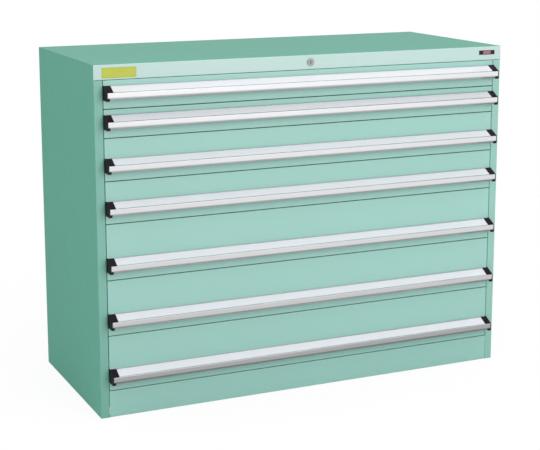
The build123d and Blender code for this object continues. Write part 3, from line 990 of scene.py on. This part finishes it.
@dataclass
class LockTrain(Assembly):
    """The cylinder lock, and the plated parts that carry its turn to the locking bar.

    Attributes:
        plated_nodes: The nodes that are zinc plated.
        bright_nodes: The nodes that are chromed.
    """

    plated_nodes: tuple[str, ...] = (
        "lock_cam", "lock_link", "bell_crank", "crank_bracket", "lock_bar",
    )
    bright_nodes: tuple[str, ...] = ("lock_body", "lock_plug")

    def build(self) -> list[bpy.types.Object]:
        """Dresses the lock, of which the frame holds every piece.

        Returns:
            An empty list.
        """
        low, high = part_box("lock_plug")
        centre = ((low.x + high.x) / 2, low.y, (low.z + high.z) / 2)
        chrome = PolishedChrome(
            "lock_plating", colour=(0.6, 0.61, 0.62), roughness=0.2, centre=centre
        )
        self.dresser.dress(self.bright_nodes, chrome)
        self.dresser.dress(self.plated_nodes, self.coats.zinc)
        return []


@dataclass
class Drawer(Assembly):
    """One drawer, with the label strip in its pull.

    Attributes:
        number: Which drawer it is, from the top.
        top_land: Depth of the flat lip on top of the pull.
        slope_rise: Height of the pull's sloping face.
        bed_depth: How deep the label bed lies under the slope.
        hook_root: How far the bed's edge lies from the slope's.
        clearance: Play of the strip in its bed.
        strip_sheet: Thickness of the strip with its cover.
        strip_edge: The radius of the strip's corners and edges.
        inlay_width: Width of the end caps' inlays.
    """

    number: int
    top_land: float = 0.003
    slope_rise: float = 0.017
    bed_depth: float = 0.002
    hook_root: float = 0.001
    clearance: float = 0.0002
    strip_sheet: float = 0.001
    strip_edge: float = 0.0002
    inlay_width: float = 0.017

    def build(self) -> list[bpy.types.Object]:
        """Dresses the drawer's nodes and slides its label strip in.

        Returns:
            The label strip.
        """
        n = self.number
        self.dresser.dress([f"drawer_front_{n}"], self.coats.sheet(Surface.FACE))
        self.dresser.dress([f"drawer_box_{n}"], self.coats.sheet(Surface.INSIDE))
        self.dresser.dress([f"pull_{n}"], self.coats.extrusion)
        self.dresser.dress([f"pull_end_caps_{n}"], self.coats.cap)
        self.dresser.dress([f"rear_rollers_{n}", f"front_rollers_{n}"], self.coats.tread)
        return [self.label_strip()]

    def label_strip(self) -> bpy.types.Object:
        """The strip on the pull's sloping bed, from one end cap's inlay to the other's.

        Returns:
            The strip.
        """
        low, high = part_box(f"pull_{self.number}")
        reach = (high.y - low.y) - self.top_land
        slope = math.atan2(self.slope_rise, reach)
        length = math.hypot(reach, self.slope_rise)
        depth = self.bed_depth - self.strip_sheet / 2
        crest = Vector((0.0, high.y - self.top_land, high.z))
        down = Vector((0.0, -math.cos(slope), -math.sin(slope)))
        inward = Vector((0.0, math.sin(slope), -math.cos(slope)))
        middle = crest + down * (length / 2) + inward * depth
        size = (
            (high.x - low.x) - 2 * (self.inlay_width + self.clearance),
            self.strip_sheet,
            length - 2 * (self.hook_root + self.clearance),
        )
        turn = Euler((slope - math.pi / 2, 0.0, 0.0)).to_matrix().to_4x4()
        strip = thin_plate(
            f"label_strip_{self.number}", size, self.strip_edge, self.strip_edge,
            Matrix.Translation(middle) @ turn,
        )
        self.dresser.coat(strip, self.coats.paper)
        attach(strip, f"drawer_{self.number}")
        return strip


@dataclass(frozen=True)
class Softbox:
    """A rectangular lamp with a diffuser.

    Attributes:
        name: The lamp's name.
        place: Where it stands.
        target: What it points at.
        size: Its width and height, in metres.
        power: Its power in watts.
    """

    name: str
    place: Place
    target: Place
    size: tuple[float, float]
    power: float

    def hang(self) -> None:
        """Puts the lamp in the scene."""
        lamp = bpy.data.lights.new(self.name, "AREA")
        lamp.shape = "RECTANGLE"
        lamp.size, lamp.size_y = self.size
        lamp.energy = self.power
        made = bpy.data.objects.new(self.name, lamp)
        made.location = self.place
        away = Vector(self.place) - Vector(self.target)
        made.rotation_euler = away.to_track_quat("Z", "Y").to_euler()
        made.visible_camera = False
        bpy.context.scene.collection.objects.link(made)
        LOG.info("%s is hung", self.name)


@dataclass
class Studio:
    """A pale seamless floor, two soft lamps in front and an even white surround.

    Attributes:
        floor_half: Half the floor's side.
        floor_glow: The share of plain white that the floor shows to the camera near the object.
        glow_reach: How far from the object's middle that share starts to grow and is whole.
        floor_colour: The floor's own colour.
        fill: How strongly the surround lights the object from every side.
        zenith_fill: How much more it does from above.
        front_fill: How much more it does from the front.
        far_floor: How bright the floor's far end is in a reflection, where its near end is 1.
        far_sky: The same for the surround.
        floor_turn: Where along Y the floor is halfway dimmed.
        floor_change: Half the length over which the floor dims towards the far end.
        sky_turn: Where the surround is halfway dimmed, as the Y of a direction.
        sky_change: Half the range of that Y over which the surround dims.
        softboxes: The lamps.
    """

    floor_half: float = 40.0
    floor_glow: float = 0.9
    glow_reach: tuple[float, float] = (0.9, 3.0)
    floor_colour: Colour = (0.93, 0.93, 0.93)
    fill: float = 0.25
    zenith_fill: float = 1.2
    front_fill: float = 0.6
    far_floor: float = 0.1
    far_sky: float = 0.3
    floor_turn: float = -0.75
    floor_change: float = 0.9
    sky_turn: float = 0.0
    sky_change: float = 0.4
    softboxes: tuple[Softbox, ...] = (
        Softbox("key_softbox", (0.9, -3.9, 2.1), (0.1, -0.2, 0.5), (2.4, 1.6), 57.0),
        Softbox("front_softbox", (2.7, -4.1, 1.35), (0.1, -0.2, 0.6), (4.4, 2.6), 7.6),
    )

    def build(self) -> None:
        """Lays the floor, hangs the lamps and sets the surround."""
        self.lay_floor()
        for softbox in self.softboxes:
            softbox.hang()
        self.surround()

    @staticmethod
    def dimming(where: Signal, turn: float, change: float, far: float) -> Signal:
        """How bright the studio is in a reflection: 1 at its near end and less at its far end."""
        along = where.graph.axis(where, "Y")
        return where.graph.ramp(along, (turn - change, turn + change), (1.0, far))

    def lay_floor(self) -> None:
        """Lays a wide plane that is white to the camera and keeps the cabinet's shadow."""
        shape = bmesh.new()
        bmesh.ops.create_grid(shape, x_segments=1, y_segments=1, size=self.floor_half)
        mesh = bpy.data.meshes.new("studio_floor")
        shape.to_mesh(mesh)
        shape.free()
        floor = bpy.data.objects.new("studio_floor", mesh)
        bpy.context.scene.collection.objects.link(floor)
        paint = bpy.data.materials.new("studio_paper")
        paint.use_nodes = True
        graph = Graph(paint.node_tree)
        matt = graph.node("ShaderNodeBsdfDiffuse", None, {"Color": linear(self.floor_colour)})
        camera, mirrored = graph.rays()
        where = graph.node("ShaderNodeTexCoord", output="Object")
        dimmed = self.dimming(where, self.floor_turn, self.floor_change, self.far_floor)
        glow = graph.node("ShaderNodeEmission", None, {"Strength": camera + mirrored * dimmed})
        shown = graph.ramp(graph.distance(where), self.glow_reach, (self.floor_glow, 1.0))
        share = (shown * camera).at_least(mirrored)
        graph.surface(graph.node("ShaderNodeMixShader", None, {0: share, 1: matt, 2: glow}))
        mesh.materials.append(paint)

    def surround(self) -> None:
        """Makes a world that is white to the camera, dims in reflections and fills the object."""
        world = bpy.data.worlds.new("studio_surround")
        world.use_nodes = True
        graph = Graph(world.node_tree)
        camera, mirrored = graph.rays()
        where = graph.node("ShaderNodeTexCoord", output="Generated")
        up = graph.axis(where, "Z").at_least(0.0)
        front = graph.axis(where, "Y").at_most(0.0)
        level = mirrored * self.dimming(where, self.sky_turn, self.sky_change, self.far_sky)
        fill = self.fill + self.zenith_fill * up - self.front_fill * front
        strength = camera + (1 - camera) * (level + (1 - mirrored) * fill)
        inputs = {"Strength": strength, "Color": (1, 1, 1, 1)}
        sky = graph.node("ShaderNodeBackground", None, inputs)
        graph.node("ShaderNodeOutputWorld", None, {"Surface": sky})
        bpy.context.scene.world = world


@dataclass
class Viewpoint:
    """The camera, where the photograph was taken from.

    Attributes:
        place: Where it stands.
        yaw: How far it looks to the right of straight ahead, in degrees.
        pitch: How far it looks down, in degrees.
        lens: Its focal length for the sensor width, in millimetres.
        rise: How far its picture is shifted, as a share of the picture's width.
        sensor: The sensor's width, in millimetres.
        sight: How far it sees, in metres.
    """

    place: Place = (-1.742, -3.793, 1.408)
    yaw: float = 24.54
    pitch: float = 10.71
    lens: float = 91.47
    rise: float = -0.102
    sensor: float = 36.0
    sight: float = 200.0

    def build(self) -> None:
        """Makes the camera, which looks straight down before it is turned, and uses it."""
        lens = bpy.data.cameras.new("viewpoint")
        lens.sensor_fit = "HORIZONTAL"
        lens.sensor_width = self.sensor
        lens.lens = self.lens
        lens.shift_y = self.rise
        lens.clip_end = self.sight
        camera = bpy.data.objects.new("viewpoint", lens)
        camera.location = self.place
        camera.rotation_euler = (math.radians(90 - self.pitch), 0.0, math.radians(-self.yaw))
        bpy.context.scene.collection.objects.link(camera)
        bpy.context.scene.camera = camera


def main() -> None:
    """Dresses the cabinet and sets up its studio."""
    logging.basicConfig(level=logging.INFO, format="%(name)s: %(message)s")
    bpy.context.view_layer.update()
    bpy.context.scene.view_settings.view_transform = "Standard"
    coats = Coats()
    dresser = Dresser(frame["nodes"])
    assemblies = [
        Carcass(dresser, coats),
        LockTrain(dresser, coats),
        *[Drawer(dresser, coats, number) for number in range(1, DRAWER_COUNT + 1)],
    ]
    for assembly in assemblies:
        for piece in assembly.build():
            LOG.info("%s is in place", piece.name)
    Studio().build()
    Viewpoint().build()
    LOG.info("nodes left bare: %s", dresser.left_bare())


if __name__ == "__main__":
    main()
